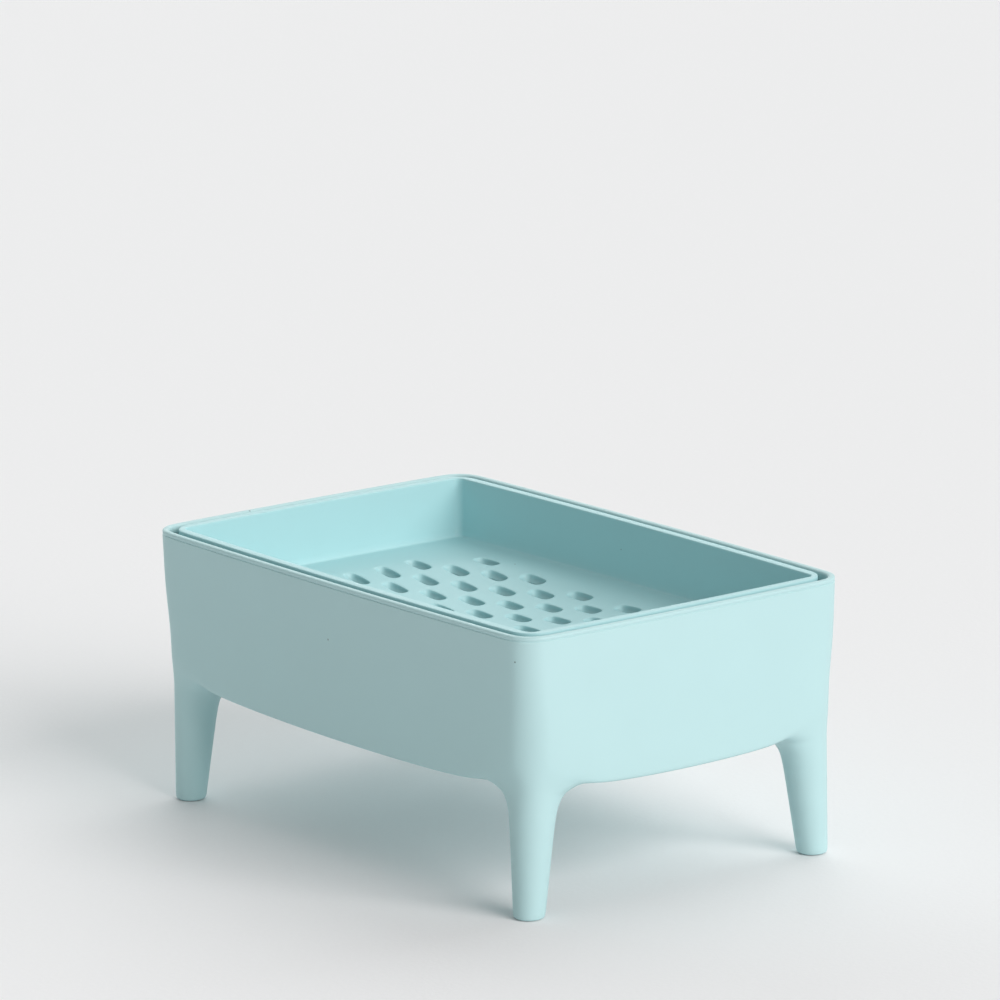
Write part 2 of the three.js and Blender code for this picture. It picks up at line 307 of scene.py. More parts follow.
def shape_selected(piece, point_at):
    """Move each selected vertex to the point that belongs to its place."""
    mesh, layer = edit_mesh(piece)
    for vertex in mesh.verts:
        if vertex.select:
            vertex.co = point_at(*place_of(vertex[layer]))
    bmesh.update_edit_mesh(piece.data)


def extrude_to(piece, point_at):
    """Extrude what is selected and shape the new vertices, which keep the places of the old ones."""
    bpy.ops.mesh.extrude_region_move()
    shape_selected(piece, point_at)


def select_edges(piece, test):
    """Select the edges that pass a test."""
    bpy.ops.mesh.select_mode(type="EDGE")
    bpy.ops.mesh.select_all(action="DESELECT")
    mesh, _ = edit_mesh(piece)
    for edge in mesh.edges:
        if test(edge):
            edge.select_set(True)
    bmesh.update_edit_mesh(piece.data)


def select_faces(piece, test):
    """Select the faces whose corners' places all pass a test."""
    bpy.ops.mesh.select_mode(type="FACE")
    bpy.ops.mesh.select_all(action="DESELECT")
    mesh, layer = edit_mesh(piece)
    for face in mesh.faces:
        if all(test(*place_of(corner[layer])) for corner in face.verts):
            face.select_set(True)
    bmesh.update_edit_mesh(piece.data)


def is_open(edge):
    """True for an edge on the border of the mesh."""
    return edge.is_boundary


def close_and_round(piece, levels):
    """Merge seams, turn all faces outwards, round the cage by subdivision and shade it smooth."""
    bpy.ops.mesh.select_all(action="SELECT")
    bpy.ops.mesh.remove_doubles(threshold=MERGE_DISTANCE)
    bpy.ops.mesh.normals_make_consistent(inside=False)
    bpy.ops.object.mode_set(mode="OBJECT")
    rounding = piece.modifiers.new("rounding", "SUBSURF")
    rounding.levels = levels
    rounding.render_levels = levels
    bpy.ops.object.modifier_apply(modifier=rounding.name)
    bpy.ops.object.shade_smooth()


# Catch bowl

BOWL_LATTICE = Lattice(columns=5, rows=5, arc_steps=2, hold=10 * MM)
LEG_START = 3  # places from here outwards, both ways, belong to a leg
CORNER_EASE_START = 11.8 * MM  # below the rim, where the corner radius starts to grow
CORNER_EASE_LENGTH = 10.0 * MM
UNDERSIDE_RISE_SHORT = 2.0 * MM  # the underside curves up by this much to a short side
UNDERSIDE_RISE_LONG = 2.5 * MM
CAGE_TIGHTER = 0.45 * MM  # subdivision rounds a corner off by about this much more
APRON_CREASE = 0.50  # how crisp the walls' lower edge stays: 0 for round, 1 for sharp
APRON_HOLD_SHORT = 0.25 * MM  # subdivision lifts the walls' lower edge by about this much
APRON_HOLD_LONG = 0.80 * MM

# Outside of the bowl, from the underside to the parting line: drop below the rim
WALL_DROPS = (
    28.5 * MM,
    25 * MM,
    CORNER_EASE_START + CORNER_EASE_LENGTH,
    17 * MM,
    CORNER_EASE_START,
    6 * MM,
    2.2 * MM,
)

# Parting line and rim bead: drop below the rim and inset from the wall's face
RIM_BEAD = (
    (1.30 * MM, 0.00 * MM),
    (1.10 * MM, 0.00 * MM),
    (1.04 * MM, 0.03 * MM),
    (1.00 * MM, 0.17 * MM),
    (0.90 * MM, 0.17 * MM),
    (0.62 * MM, 0.03 * MM),
    (0.34 * MM, 0.02 * MM),
    (0.10 * MM, 0.16 * MM),
    (0.00 * MM, 0.48 * MM),
    (0.00 * MM, 0.95 * MM),
    (0.12 * MM, 1.36 * MM),
    (0.45 * MM, 1.58 * MM),
)
INNER_DROPS = (1.6 * MM, 12 * MM, 22 * MM, 27.5 * MM)  # inside of the bowl, below the rim
INNER_FILLET = 2.2 * MM  # between the inner walls and the floor

# Legs: each is a ring of eight that leads from its foot to the corner above it
FOOT_SETBACK_SHORT = 6.5 * MM  # from the middle of a short side in to the foot's middle
FOOT_SETBACK_LONG = 5.6 * MM  # from the middle of a long side in to the foot's middle
LEG_TOP_LEVEL = 26.6 * MM  # where a leg's outer face runs into the corner above it
OCTAGON_SHRINK = 0.9024  # a subdivided octagon's circle, as a share of the octagon's radius
# Places of a leg's ring, each with its angle in eighths of a turn
LEG_EIGHTHS = {(5, 3): -1, (5, 4): 0, (5, 5): 1, (4, 5): 2, (3, 5): 3, (3, 4): 4, (3, 3): 5, (4, 3): 6}
# Height of a ring and its flare into the fillets along both walls, below zero where the foot is rounded
LEG_RINGS = (
    (25.4 * MM, 2.60 * MM),
    (24.2 * MM, 1.40 * MM),
    (22.8 * MM, 0.60 * MM),
    (21.0 * MM, 0.10 * MM),
    (16.5 * MM, 0.0),
    (9.5 * MM, 0.0),
    (2.4 * MM, 0.0),
    (0.45 * MM, 0.0),
    (0.0, -0.35 * MM),
)
LEG_ROOT_X = 48.0 * MM  # along a long side, where the apron's edge turns down into a leg
LEG_ROOT_Y = 25.1 * MM  # the same along a short side
LEG_ROOT_LEAD = 5.5 * MM  # from the place before it to that turn
LEG_ROOT_LEVEL = 27.4 * MM  # height of the outer places between wall and leg
# Places of the underside inside its border, from the middle outwards
UNDERSIDE_COLUMNS = (0.0, 23 * MM, 42 * MM, LEG_ROOT_X, 57.5 * MM)
UNDERSIDE_ROWS = (0.0, 12 * MM, 19.6 * MM, LEG_ROOT_Y, 34.8 * MM)

SEAT_LEVEL_GAP = 0.3 * MM  # clearance between a web and the tray
WEB_IN_WALL = 0.5 * MM  # how deep a web's ends and foot lie in the walls and floor
WEB_ROUND = 0.4 * MM  # radius along a web's top
WEB_ROUND_STEPS = 3
WEB_SMOOTH_ANGLE = math.radians(40)  # edges of a web that turn by more stay sharp


def bowl_corner_radius(z, bowl):
    """Outer corner radius of the bowl at a height."""
    start = RIM_LEVEL - CORNER_EASE_START
    share = smooth_share((start - z) / CORNER_EASE_LENGTH)
    return bowl.rim_corner + (bowl.leg_corner - bowl.rim_corner) * share


def bowl_lean(z, bowl):
    """How far the walls stand in at a height."""
    return bowl.draft * min(max((RIM_LEVEL - z) / bowl.depth, 0.0), 1.0)


def underside_level(x, y, bowl):
    """Height of the bowl's shallow domed underside."""
    rise_short = UNDERSIDE_RISE_SHORT * (x / CAD_BOX[1].x) ** 2
    rise_long = UNDERSIDE_RISE_LONG * (y / CAD_BOX[1].y) ** 2
    return RIM_LEVEL - bowl.depth + rise_short + rise_long


def underside_point(column, row, bowl):
    """Point of the bowl's underside, up to its lower edge."""
    across, along = abs(column), abs(row)
    lead_x = LEG_ROOT_LEAD * (LEG_START - across)
    lead_y = LEG_ROOT_LEAD * (LEG_START - along)
    if BOWL_LATTICE.on_border(across, along):
        x, y = BOWL_LATTICE.border(across, along, bowl.draft, bowl.leg_corner - CAGE_TIGHTER)
        if along in (LEG_START, LEG_START - 1):
            y = LEG_ROOT_Y - lead_y
        if across in (LEG_START, LEG_START - 1):
            x = LEG_ROOT_X - lead_x
    else:
        x, y = UNDERSIDE_COLUMNS[across], UNDERSIDE_ROWS[along]
    z = LEG_ROOT_LEVEL if min(across, along) > LEG_START else underside_level(x, y, bowl)
    if across == BOWL_LATTICE.columns and along < LEG_START:
        z -= APRON_HOLD_SHORT
    elif along == BOWL_LATTICE.rows and across < LEG_START:
        z -= APRON_HOLD_LONG
    return Vector((math.copysign(x, column), math.copysign(y, row), z))


def leg_point(column, row, z, flare, bowl):
    """Point of a leg's ring, or of the middle of its end, at a height."""
    radius = bowl.foot_radius + bowl.leg_taper * z
    top_radius = bowl.foot_radius + bowl.leg_taper * LEG_TOP_LEVEL
    top_setback = bowl.draft + bowl.leg_corner + (top_radius - bowl.leg_corner) * math.sqrt(0.5)
    top = Vector((HALF_LENGTH - top_setback, HALF_WIDTH - top_setback))
    foot = Vector((CAD_BOX[1].x - FOOT_SETBACK_SHORT, CAD_BOX[1].y - FOOT_SETBACK_LONG))
    x, y = foot.lerp(top, z / LEG_TOP_LEVEL)
    eighths = LEG_EIGHTHS.get((abs(column), abs(row)))
    if eighths is not None:
        angle = eighths * math.pi / 4
        reach = (radius + min(flare, 0.0)) / OCTAGON_SHRINK
        x += reach * math.cos(angle)
        y += reach * math.sin(angle)
        if abs(column) == LEG_START:
            x -= max(flare, 0.0)
        if abs(row) == LEG_START:
            y -= max(flare, 0.0)
    return Vector((math.copysign(x, column), math.copysign(y, row), z))


def bowl_wall_point(column, row, drop, inset, bowl):
    """Point of the bowl's wall at a drop below the rim, in by inset from its outer face."""
    z = RIM_LEVEL - drop
    radius = bowl_corner_radius(z, bowl) - CAGE_TIGHTER - inset
    x, y = BOWL_LATTICE.border(column, row, bowl_lean(z, bowl) + inset, radius)
    return Vector((x, y, z))


def inner_floor_point(column, row, bowl):
    """Point of the bowl's floor, inside."""
    inset = bowl.draft + bowl.wall + INNER_FILLET
    if BOWL_LATTICE.on_border(column, row):
        x, y = BOWL_LATTICE.border(column, row, inset, bowl.leg_corner - bowl.wall)
    else:
        x = (HALF_LENGTH - inset) * column / BOWL_LATTICE.columns
        y = (HALF_WIDTH - inset) * row / BOWL_LATTICE.rows
    return Vector((x, y, underside_level(x, y, bowl) + bowl.floor))


def crease_apron(piece, bowl):
    """Keep the lower edge of the walls fairly crisp between the legs."""
    _, layer = edit_mesh(piece)

    def on_apron(vertex):
        column, row = place_of(vertex[layer])
        on_edge = BOWL_LATTICE.on_border(column, row) and min(abs(column), abs(row)) <= LEG_START
        return on_edge and (vertex.co - underside_point(column, row, bowl)).length < MERGE_DISTANCE

    select_edges(piece, lambda edge: all(on_apron(end) for end in edge.verts))
    bpy.ops.transform.edge_crease(value=APRON_CREASE)


def add_grid(piece):
    """Add the bowl's lattice as a flat unit grid with its places, to the open piece or as a new one."""
    columns, rows = BOWL_LATTICE.columns, BOWL_LATTICE.rows
    bpy.ops.mesh.primitive_grid_add(x_subdivisions=2 * columns, y_subdivisions=2 * rows, size=1)
    piece = piece or begin_piece("catch_bowl_moulding")
    number_places(piece, lambda point: (round(point.x * 2 * columns), round(point.y * 2 * rows)))
    return piece


def bowl_skin(bowl):
    """The catch bowl's underside, legs, walls with rim bead, and inner floor as one skin."""
    deselect_objects()
    piece = add_grid(None)
    shape_selected(piece, lambda column, row: underside_point(column, row, bowl))
    select_faces(piece, lambda column, row: min(abs(column), abs(row)) >= LEG_START)
    for z, flare in LEG_RINGS:
        extrude_to(piece, lambda column, row: leg_point(column, row, z, flare, bowl))
    select_edges(piece, is_open)
    profile = [(drop, 0.0) for drop in WALL_DROPS]
    profile += RIM_BEAD
    profile += [(drop, bowl.wall) for drop in INNER_DROPS]
    for drop, inset in profile:
        extrude_to(piece, lambda column, row: bowl_wall_point(column, row, drop, inset, bowl))
    add_grid(piece)
    shape_selected(piece, lambda column, row: inner_floor_point(column, row, bowl))
    select_edges(piece, is_open)
    bpy.ops.mesh.bridge_edge_loops()
    crease_apron(piece, bowl)
    close_and_round(piece, levels=3)
    return piece


def seat_web(side_x, side_y, bowl, tray):
    """One web across an inner corner of the bowl, on which the tray's corner rests."""
    top = RIM_LEVEL - tray.depth - tray.floor - SEAT_LEVEL_GAP
    inset = bowl.wall + bowl_lean(top, bowl) - WEB_IN_WALL
    end_x, end_y = HALF_LENGTH - inset, HALF_WIDTH - inset
    corner_sum = CAD_BOX[1].x + CAD_BOX[1].y - 2 * bowl.wall - bowl.seat_setback * math.sqrt(2)
    bpy.ops.mesh.primitive_cube_add(size=1)
    web = bpy.context.object
    for vertex in web.data.vertices:
        line = corner_sum + math.copysign(bowl.seat_web / math.sqrt(2), vertex.co.y)
        x = end_x if vertex.co.x > 0 else line - end_y
        z = top if vertex.co.z > 0 else underside_level(x, line - x, bowl) + bowl.floor - WEB_IN_WALL
        vertex.co = (side_x * x, side_y * (line - x), z)
    bpy.ops.object.mode_set(mode="EDIT")
    bpy.ops.mesh.select_mode(type="EDGE")
    bpy.ops.mesh.select_all(action="DESELECT")
    mesh = bmesh.from_edit_mesh(web.data)
    for edge in mesh.edges:
        edge.select_set(all(end.co.z > top - MERGE_DISTANCE for end in edge.verts))
    bmesh.update_edit_mesh(web.data)
    bpy.ops.mesh.bevel(offset=WEB_ROUND, segments=WEB_ROUND_STEPS, affect="EDGES")
    bpy.ops.mesh.select_all(action="SELECT")
    bpy.ops.mesh.normals_make_consistent(inside=False)
    bpy.ops.object.mode_set(mode="OBJECT")
    bpy.ops.object.shade_smooth_by_angle(angle=WEB_SMOOTH_ANGLE)
    return web


def model_bowl(settings):
    """The catch bowl with its four seat webs."""
    piece = bowl_skin(settings.bowl)
    webs = []
    for side_x, side_y in ((1, 1), (-1, 1), (-1, -1), (1, -1)):
        deselect_objects()
        webs.append(seat_web(side_x, side_y, settings.bowl, settings.tray))
    deselect_objects()
    for web in webs:
        web.select_set(True)
    piece.select_set(True)
    bpy.context.view_layer.objects.active = piece
    bpy.ops.object.join()
    return piece


# Soap tray

SCOOP_COLUMNS = 6  # from the middle
SCOOP_ROWS = 7
# Two places to a column or row of scoops, and one more row for the plain tiles that even out the ends
TRAY_LATTICE = Lattice(columns=2 * SCOOP_COLUMNS, rows=2 * SCOOP_ROWS + 1, arc_steps=3, hold=1.2 * MM)
SCOOP_SIDES = 12
SCOOP_FIELD = 1.15  # scoops past this share of the dish's ellipse are left out
SCOOP_DEEP_END = 2.65 * MM  # from a scoop's place to its steep end
SCOOP_RAMP_TOP = 4.45 * MM  # from its place to where the hollow ramp meets the floor
SCOOP_RAMP_FOOT = 4.0 * MM  # from its place to where the ramp has become steep
SCOOP_RAMP_DEPTH = 0.6 * MM  # where the ramp has become steep
SCOOP_SQUARENESS = 0.55  # power of a scoop's outline: 1 for an ellipse, less for a rounded rectangle
TILE_SHIFT = (SCOOP_DEEP_END - SCOOP_RAMP_TOP) / 2  # a tile's middle, from its scoop's place
RING_SHRINK = 0.955  # a subdivided ring of twelve, as a share of the ring's radius
# Depth below the floor, growth past the scoop's own size, and lean of its +Y side
SCOOP_RINGS = (
    (0.0, 0.22 * MM, 0.0),
    (0.05 * MM, 0.04 * MM, 0.0),
    (0.30 * MM, 0.0, 0.0),
    (0.80 * MM, -0.02 * MM, 0.0),
    (1.20 * MM, -0.05 * MM, 0.10 * MM),
    (1.55 * MM, -0.10 * MM, 0.35 * MM),
    (1.92 * MM, -0.20 * MM, 0.70 * MM),
)
DISH_MARGIN_SHORT = 9.9 * MM  # from a short wall to the edge of the dished part
DISH_MARGIN_LONG = 2.5 * MM
DISH_EDGE_EASE = 0.15  # share of the dish over which its edge runs softly into the flat border
TIGHTEST_CORNER = 0.4 * MM  # least radius of the tray's corners, where the inset leaves none

# Inside of the tray, from the floor up: height above the floor and inset past the wall's inner face
TRAY_INSIDE_FOOT = (
    (0.0, 2.0 * MM),
    (0.0, 0.70 * MM),
    (0.12 * MM, 0.14 * MM),
    (0.7 * MM, 0.0),
)
# The same on up to the rim, with the drop below the rim
TRAY_INSIDE_RIM = (
    (6.0 * MM, 0.0),
    (1.0 * MM, 0.0),
    (0.28 * MM, 0.0),
    (0.06 * MM, -0.04 * MM),
    (0.0, -0.20 * MM),
    (0.0, -0.75 * MM),
)
# Outside of the tray, from the rim down: drop below the rim and inset from the wall's outer face
TRAY_OUTSIDE_RIM = (
    (0.0, 0.75 * MM),
    (0.0, 0.24 * MM),
    (0.07 * MM, 0.05 * MM),
    (0.32 * MM, 0.0),
    (1.1 * MM, 0.0),
    (6.0 * MM, 0.0),
)
# The same on down to the underside, with the height above the underside
TRAY_OUTSIDE_FOOT = (
    (2.4 * MM, 0.0),
    (0.8 * MM, 0.2 * MM),
    (0.1 * MM, 0.9 * MM),
    (0.0, 2.2 * MM),
)


def tray_inset(settings):
    """How far the tray's outer face stands in from the bowl's."""
    return settings.bowl.wall + settings.tray.gap


def dish_share(x, y, settings):
    """Place in the ellipse of the tray's dished floor: 0 in its middle, 1 on its edge."""
    inset = tray_inset(settings) + settings.tray.wall + settings.tray.draft
    half_length = CAD_BOX[1].x - inset - DISH_MARGIN_SHORT
    half_width = CAD_BOX[1].y - inset - DISH_MARGIN_LONG
    return (x / half_length) ** 2 + (y / half_width) ** 2


def dish_drop(x, y, settings):
    """How far the tray's floor lies below its border, with a soft edge to the dished part."""
    inside = 1 - dish_share(x, y, settings)
    if inside < -DISH_EDGE_EASE:
        inside = 0.0
    elif inside < DISH_EDGE_EASE:
        inside = (inside + DISH_EDGE_EASE) ** 2 / (4 * DISH_EDGE_EASE)
    return settings.tray.sag * inside


def squared_off(share):
    """A sine or cosine, bent so that an ellipse becomes a rounded rectangle."""
    return math.copysign(abs(share) ** SCOOP_SQUARENESS, share)


def scoop_ring_point(side, depth, growth, lean, tray):
    """Point of a scoop's ring at a depth below the floor. The ramp is at the scoop's -X end."""
    lead = max(1 - depth / SCOOP_RAMP_DEPTH, 0.0) ** 2
    ramp = SCOOP_RAMP_FOOT + (SCOOP_RAMP_TOP - SCOOP_RAMP_FOOT) * lead
    half_length = ((SCOOP_DEEP_END + ramp) / 2 + growth) / RING_SHRINK
    half_width = (tray.scoop_width / 2 + growth - lean / 2) / RING_SHRINK
    angle = 2 * math.pi * side / SCOOP_SIDES
    x = (SCOOP_DEEP_END - ramp) / 2 + half_length * squared_off(math.cos(angle))
    y = half_width * squared_off(math.sin(angle)) - lean / 2
    return Vector((x, y, -depth))


def tile_border_point(side, level, tray):
    """Point of the border of a scoop's tile, which is one column wide and two rows long."""
    step_x, step_y = tray.scoop_step
    quarter = SCOOP_SIDES // 4
    from_low = (side + quarter) % SCOOP_SIDES
    on_right = from_low <= 2 * quarter
    climb = from_low if on_right else SCOOP_SIDES - from_low
    on_middle = climb in (0, 2 * quarter)
    x = 0.0 if on_middle else math.copysign(step_x / 2, 1 if on_right else -1)
    y = step_y * min(max((climb - quarter) / 2, -1), 1)
    return Vector((x + TILE_SHIFT, y, level))


def scoop_tile(tray):
    """One tile of the tray's floor with a drain scoop through it."""
    deselect_objects()
    bpy.ops.mesh.primitive_circle_add(vertices=SCOOP_SIDES, radius=1, fill_type="NOTHING")
    tile = begin_piece("scoop_tile")
    turn = 2 * math.pi / SCOOP_SIDES
    number_places(tile, lambda point: (round(math.atan2(point.y, point.x) / turn) % SCOOP_SIDES, 0))
    shape_selected(tile, lambda side, _: tile_border_point(side, 0.0, tray))
    select_edges(tile, lambda edge: True)
    for depth, growth, lean in SCOOP_RINGS:
        extrude_to(tile, lambda side, _: scoop_ring_point(side, depth, growth, lean, tray))
    extrude_to(tile, lambda side, _: tile_border_point(side, -tray.floor, tray))
    bpy.ops.object.mode_set(mode="OBJECT")
    return tile


def plain_tile(rows, tray):
    """A tile of the tray's floor with no scoop, some rows long: its top and its underside."""
    deselect_objects()
    bpy.ops.mesh.primitive_grid_add(x_subdivisions=2, y_subdivisions=2 * rows, size=1)
    tile = begin_piece("plain_tile")
    bpy.ops.transform.resize(value=(tray.scoop_step[0], tray.scoop_step[1] * rows, 1))
    bpy.ops.transform.translate(value=(TILE_SHIFT, 0, 0))
    bpy.ops.mesh.duplicate_move(TRANSFORM_OT_translate={"value": (0, 0, -tray.floor)})
    bpy.ops.object.mode_set(mode="OBJECT")
    return tile


def copy_tile(tile, x, y, z):
    """A copy of a tile with its own mesh, which holds its place."""
    copied = tile.copy()
    copied.data = tile.data.copy()
    copied.data.transform(Matrix.Translation((x, y, z)))
    bpy.context.collection.objects.link(copied)
    return copied


def scoop_field(settings):
    """The patterned part of the tray's floor, still flat, as one mesh of tiles."""
    tray = settings.tray
    step_x, step_y = tray.scoop_step
    level = RIM_LEVEL - tray.depth
    scooped, plain, filler = scoop_tile(tray), plain_tile(2, tray), plain_tile(1, tray)
    tiles = []
    for column in range(-SCOOP_COLUMNS, SCOOP_COLUMNS):
        x = (column + 0.5) * step_x
        for row in range(-SCOOP_ROWS, SCOOP_ROWS):
            y = (row + 0.5) * step_y
            if (column + row) % 2:
                in_field = dish_share(x, y, settings) <= SCOOP_FIELD
                tiles.append(copy_tile(scooped if in_field else plain, x, y, level))
        end = SCOOP_ROWS * step_y * (1 if column % 2 == 0 else -1)
        tiles.append(copy_tile(filler, x, end, level))
    for pattern in (scooped, plain, filler):
        bpy.data.objects.remove(pattern)
    deselect_objects()
    for tile in tiles:
        tile.select_set(True)
    bpy.context.view_layer.objects.active = tiles[0]
    bpy.ops.object.join()
    return bpy.context.object


def tray_wall_point(column, row, drop, inset, radius, tray):
    """Point of the tray's wall at a drop below the rim."""
    lean = tray.draft * min(drop / tray.depth, 1.0)
    x, y = TRAY_LATTICE.border(column, row, inset + lean, max(radius, TIGHTEST_CORNER))
    return Vector((x, y, RIM_LEVEL - drop))


def tray_profile(settings):
    """Rings up the inside and down the outside: drop below the rim, inset and corner radius."""
    tray = settings.tray
    outer = tray_inset(settings)
    inner = outer + tray.wall
    underside = tray.depth + tray.floor
    inside = [(tray.depth - height, inset) for height, inset in TRAY_INSIDE_FOOT]
    inside += TRAY_INSIDE_RIM
    outside = list(TRAY_OUTSIDE_RIM)
    outside += [(underside - height, inset) for height, inset in TRAY_OUTSIDE_FOOT]
    profile = [(drop, inner + inset, tray.inner_corner - inset) for drop, inset in inside]
    profile += [(drop, outer + inset, tray.corner - inset) for drop, inset in outside]
    return profile


def model_tray(settings):
    """The soap tray: scoop field, floor border, walls and underside as one skin."""
    tray = settings.tray
    step_x, step_y = tray.scoop_step
    piece = scoop_field(settings)
    piece.name = "soap_tray_moulding"
    piece.data.name = "soap_tray_moulding"
    bpy.ops.object.mode_set(mode="EDIT")
    bpy.ops.mesh.select_all(action="SELECT")
    bpy.ops.mesh.remove_doubles(threshold=MERGE_DISTANCE)
    number_places(piece, lambda point: (
        round((point.x - TILE_SHIFT) / (step_x / 2)), round(point.y / (step_y / 2))))
    middle_level = RIM_LEVEL - tray.depth - tray.floor / 2
    select_edges(piece, lambda edge: edge.is_boundary and edge.verts[0].co.z > middle_level)
    for drop, inset, radius in tray_profile(settings):
        extrude_to(piece, lambda column, row: tray_wall_point(column, row, drop, inset, radius, tray))
    select_edges(piece, is_open)
    bpy.ops.mesh.bridge_edge_loops()
    mesh, _ = edit_mesh(piece)
    for vertex in mesh.verts:
        vertex.co.z -= dish_drop(vertex.co.x, vertex.co.y, settings)
    bmesh.update_edit_mesh(piece.data)
    close_and_round(piece, levels=1)
    return piece


# Shader expressions

class Signal:
    """A socket of a material, with arithmetic that adds Math nodes."""

    def __init__(self, tree, socket):
        self.tree = tree
        self.socket = socket

    def math(self, operation, *values):
        """Add a Math node."""
        node = self.tree.nodes.new("ShaderNodeMath")
        node.operation = operation
        for slot, value in zip(node.inputs, values):
            feed(self.tree, slot, value)
        return Signal(self.tree, node.outputs[0])

    def __add__(self, other):
        return self.math("ADD", self, other)

    __radd__ = __add__

    def __mul__(self, other):
        return self.math("MULTIPLY", self, other)

    __rmul__ = __mul__

    def __sub__(self, other):
        return self.math("SUBTRACT", self, other)

    def __rsub__(self, other):
        return self.math("SUBTRACT", other, self)


def feed(tree, slot, value):
    """Link a signal to a socket, or set the socket's own value."""
    if isinstance(value, Signal):
        tree.links.new(value.socket, slot)
    else:
        slot.default_value = value


# Sockets of a Mix node that blends colours
MIX_FACTOR = 0
MIX_FIRST = 6
MIX_SECOND = 7
MIX_RESULT = 2


class Finish:
    """A material in the making."""

    def __init__(self, name):
        self.material = bpy.data.materials.new(name)
        self.material.use_nodes = True
        self.tree = self.material.node_tree
        self.tree.nodes.clear()

    def add(self, kind, settings, inputs, output=0):
        """Add a node of a kind: its settings first, then the values or links of its sockets."""
        node = self.tree.nodes.new(kind)
        for name, setting in settings.items():
            setattr(node, name, setting)
        for name, value in inputs.items():
            feed(self.tree, node.inputs[name], value)
        return Signal(self.tree, node.outputs[output] if node.outputs else None)

    def mix(self, factor, first, second):
        """Blend two colours."""
        inputs = {MIX_FACTOR: factor, MIX_FIRST: first, MIX_SECOND: second}
        return self.add("ShaderNodeMix", {"data_type": "RGBA"}, inputs, output=MIX_RESULT)

    def noise(self, place, scale, detail):
        """A cloudy pattern of 0 to 1."""
        return self.add("ShaderNodeTexNoise", {}, {"Vector": place, "Scale": scale, "Detail": detail})

    def bump(self, pattern, strength, height):
        """A surface direction, tilted as if the pattern were raised."""
        return self.add("ShaderNodeBump", {}, {"Strength": strength, "Distance": height, "Height": pattern})


def tint(colour, share):
    """A colour made lighter or darker, with full alpha."""
    return (*(min(channel * share, 1.0) for channel in colour), 1.0)


def swing(pattern, amount):
    """A pattern of 0 to 1, made to swing round zero by this amount in all."""
    return (pattern - 0.5) * amount


# Plastic: patterns in cells for each metre, and how far they change its colour, gloss and surface
CLOUD_SCALE = 55.0
CLOUD_DETAIL = 3.0
CLOUD_TINT = 0.025
CLOUD_GLOSS = 0.10
GRAIN_SCALE = 2600.0
GRAIN_DETAIL = 2.0
GRAIN_GLOSS = 0.06
GRAIN_STRENGTH = 0.06
GRAIN_HEIGHT = 0.05 * MM
SPECK_SCALE = 75.0
SPECK_RADIUS = 0.25 * MM
SPECK_SHADE = 0.45  # colour of a speck, as a share of the plastic's

# Paper of the floor, in the same way
TOOTH_SCALE = 900.0
TOOTH_DETAIL = 2.0
TOOTH_TINT = 0.015
TOOTH_STRENGTH = 0.35
TOOTH_HEIGHT = 0.1 * MM
PAPER_ROUGHNESS = 0.9
PAPER_SPECULAR = 0.1


def satin_plastic(name, colour, roughness):
    """Moulded satin plastic with a fine grain, faint clouding and a few specks."""
    finish = Finish(name)
    place = finish.add("ShaderNodeTexCoord", {}, {}, output="Object")
    clouds = finish.noise(place, CLOUD_SCALE, CLOUD_DETAIL)
    grain = finish.noise(place, GRAIN_SCALE, GRAIN_DETAIL)
    nearest = finish.add("ShaderNodeTexVoronoi", {}, {"Vector": place, "Scale": SPECK_SCALE})
    speck = nearest.math("LESS_THAN", nearest, SPECK_RADIUS * SPECK_SCALE)
    plastic = finish.mix(clouds, tint(colour, 1 - CLOUD_TINT), tint(colour, 1 + CLOUD_TINT))
    shader = finish.add("ShaderNodeBsdfPrincipled", {}, {
        "Base Color": finish.mix(speck, plastic, tint(colour, SPECK_SHADE)),
        "Roughness": roughness + swing(clouds, CLOUD_GLOSS) + swing(grain, GRAIN_GLOSS),
        "Normal": finish.bump(grain, GRAIN_STRENGTH, GRAIN_HEIGHT),
    })
    finish.add("ShaderNodeOutputMaterial", {}, {"Surface": shader})
    return finish.material


def matte_paper(name, colour):
    """Pale studio paper with a faint tooth."""
    finish = Finish(name)
    place = finish.add("ShaderNodeTexCoord", {}, {}, output="Object")
    tooth = finish.noise(place, TOOTH_SCALE, TOOTH_DETAIL)
    shader = finish.add("ShaderNodeBsdfPrincipled", {}, {
        "Base Color": finish.mix(tooth, tint(colour, 1 - TOOTH_TINT), tint(colour, 1 + TOOTH_TINT)),
        "Roughness": PAPER_ROUGHNESS,
        "Specular IOR Level": PAPER_SPECULAR,
        "Normal": finish.bump(tooth, TOOTH_STRENGTH, TOOTH_HEIGHT),
    })
    finish.add("ShaderNodeOutputMaterial", {}, {"Surface": shader})
    return finish.material


# Stage

FLOOR_SIZE = 14.0
SENSOR_WIDTH = 36.0  # in millimetres, as the lens is
CLIP_START = 0.05
CLIP_END = 50.0


def soft_light(name, setting, colour):
    """A broad light that looks the same size from everywhere: strength, then angles in degrees."""
    strength, turn, height, spread = setting[0], *map(math.radians, setting[1:])
    bpy.ops.object.light_add(type="SUN")
    light = bpy.context.object
    light.name = name
    light.data.energy = strength
    light.data.angle = spread
    light.data.color = colour
    flat = math.cos(height)
    direction = Vector((flat * math.cos(turn), flat * math.sin(turn), math.sin(height)))
    light.rotation_euler = direction.to_track_quat("Z", "Y").to_euler()


def place_lights(scene, studio):
    """A window on the right, lit walls behind the dish, and even light from the room."""
    soft_light("window", studio.window, studio.warm_colour)
    soft_light("side_wall", studio.side_wall, studio.cool_colour)
    soft_light("backdrop", studio.backdrop, studio.cool_colour)
    world = bpy.data.worlds.new("studio")
    world.use_nodes = True
    background = world.node_tree.nodes["Background"]
    background.inputs["Color"].default_value = (*studio.cool_colour, 1.0)
    background.inputs["Strength"].default_value = studio.ambient
    scene.world = world


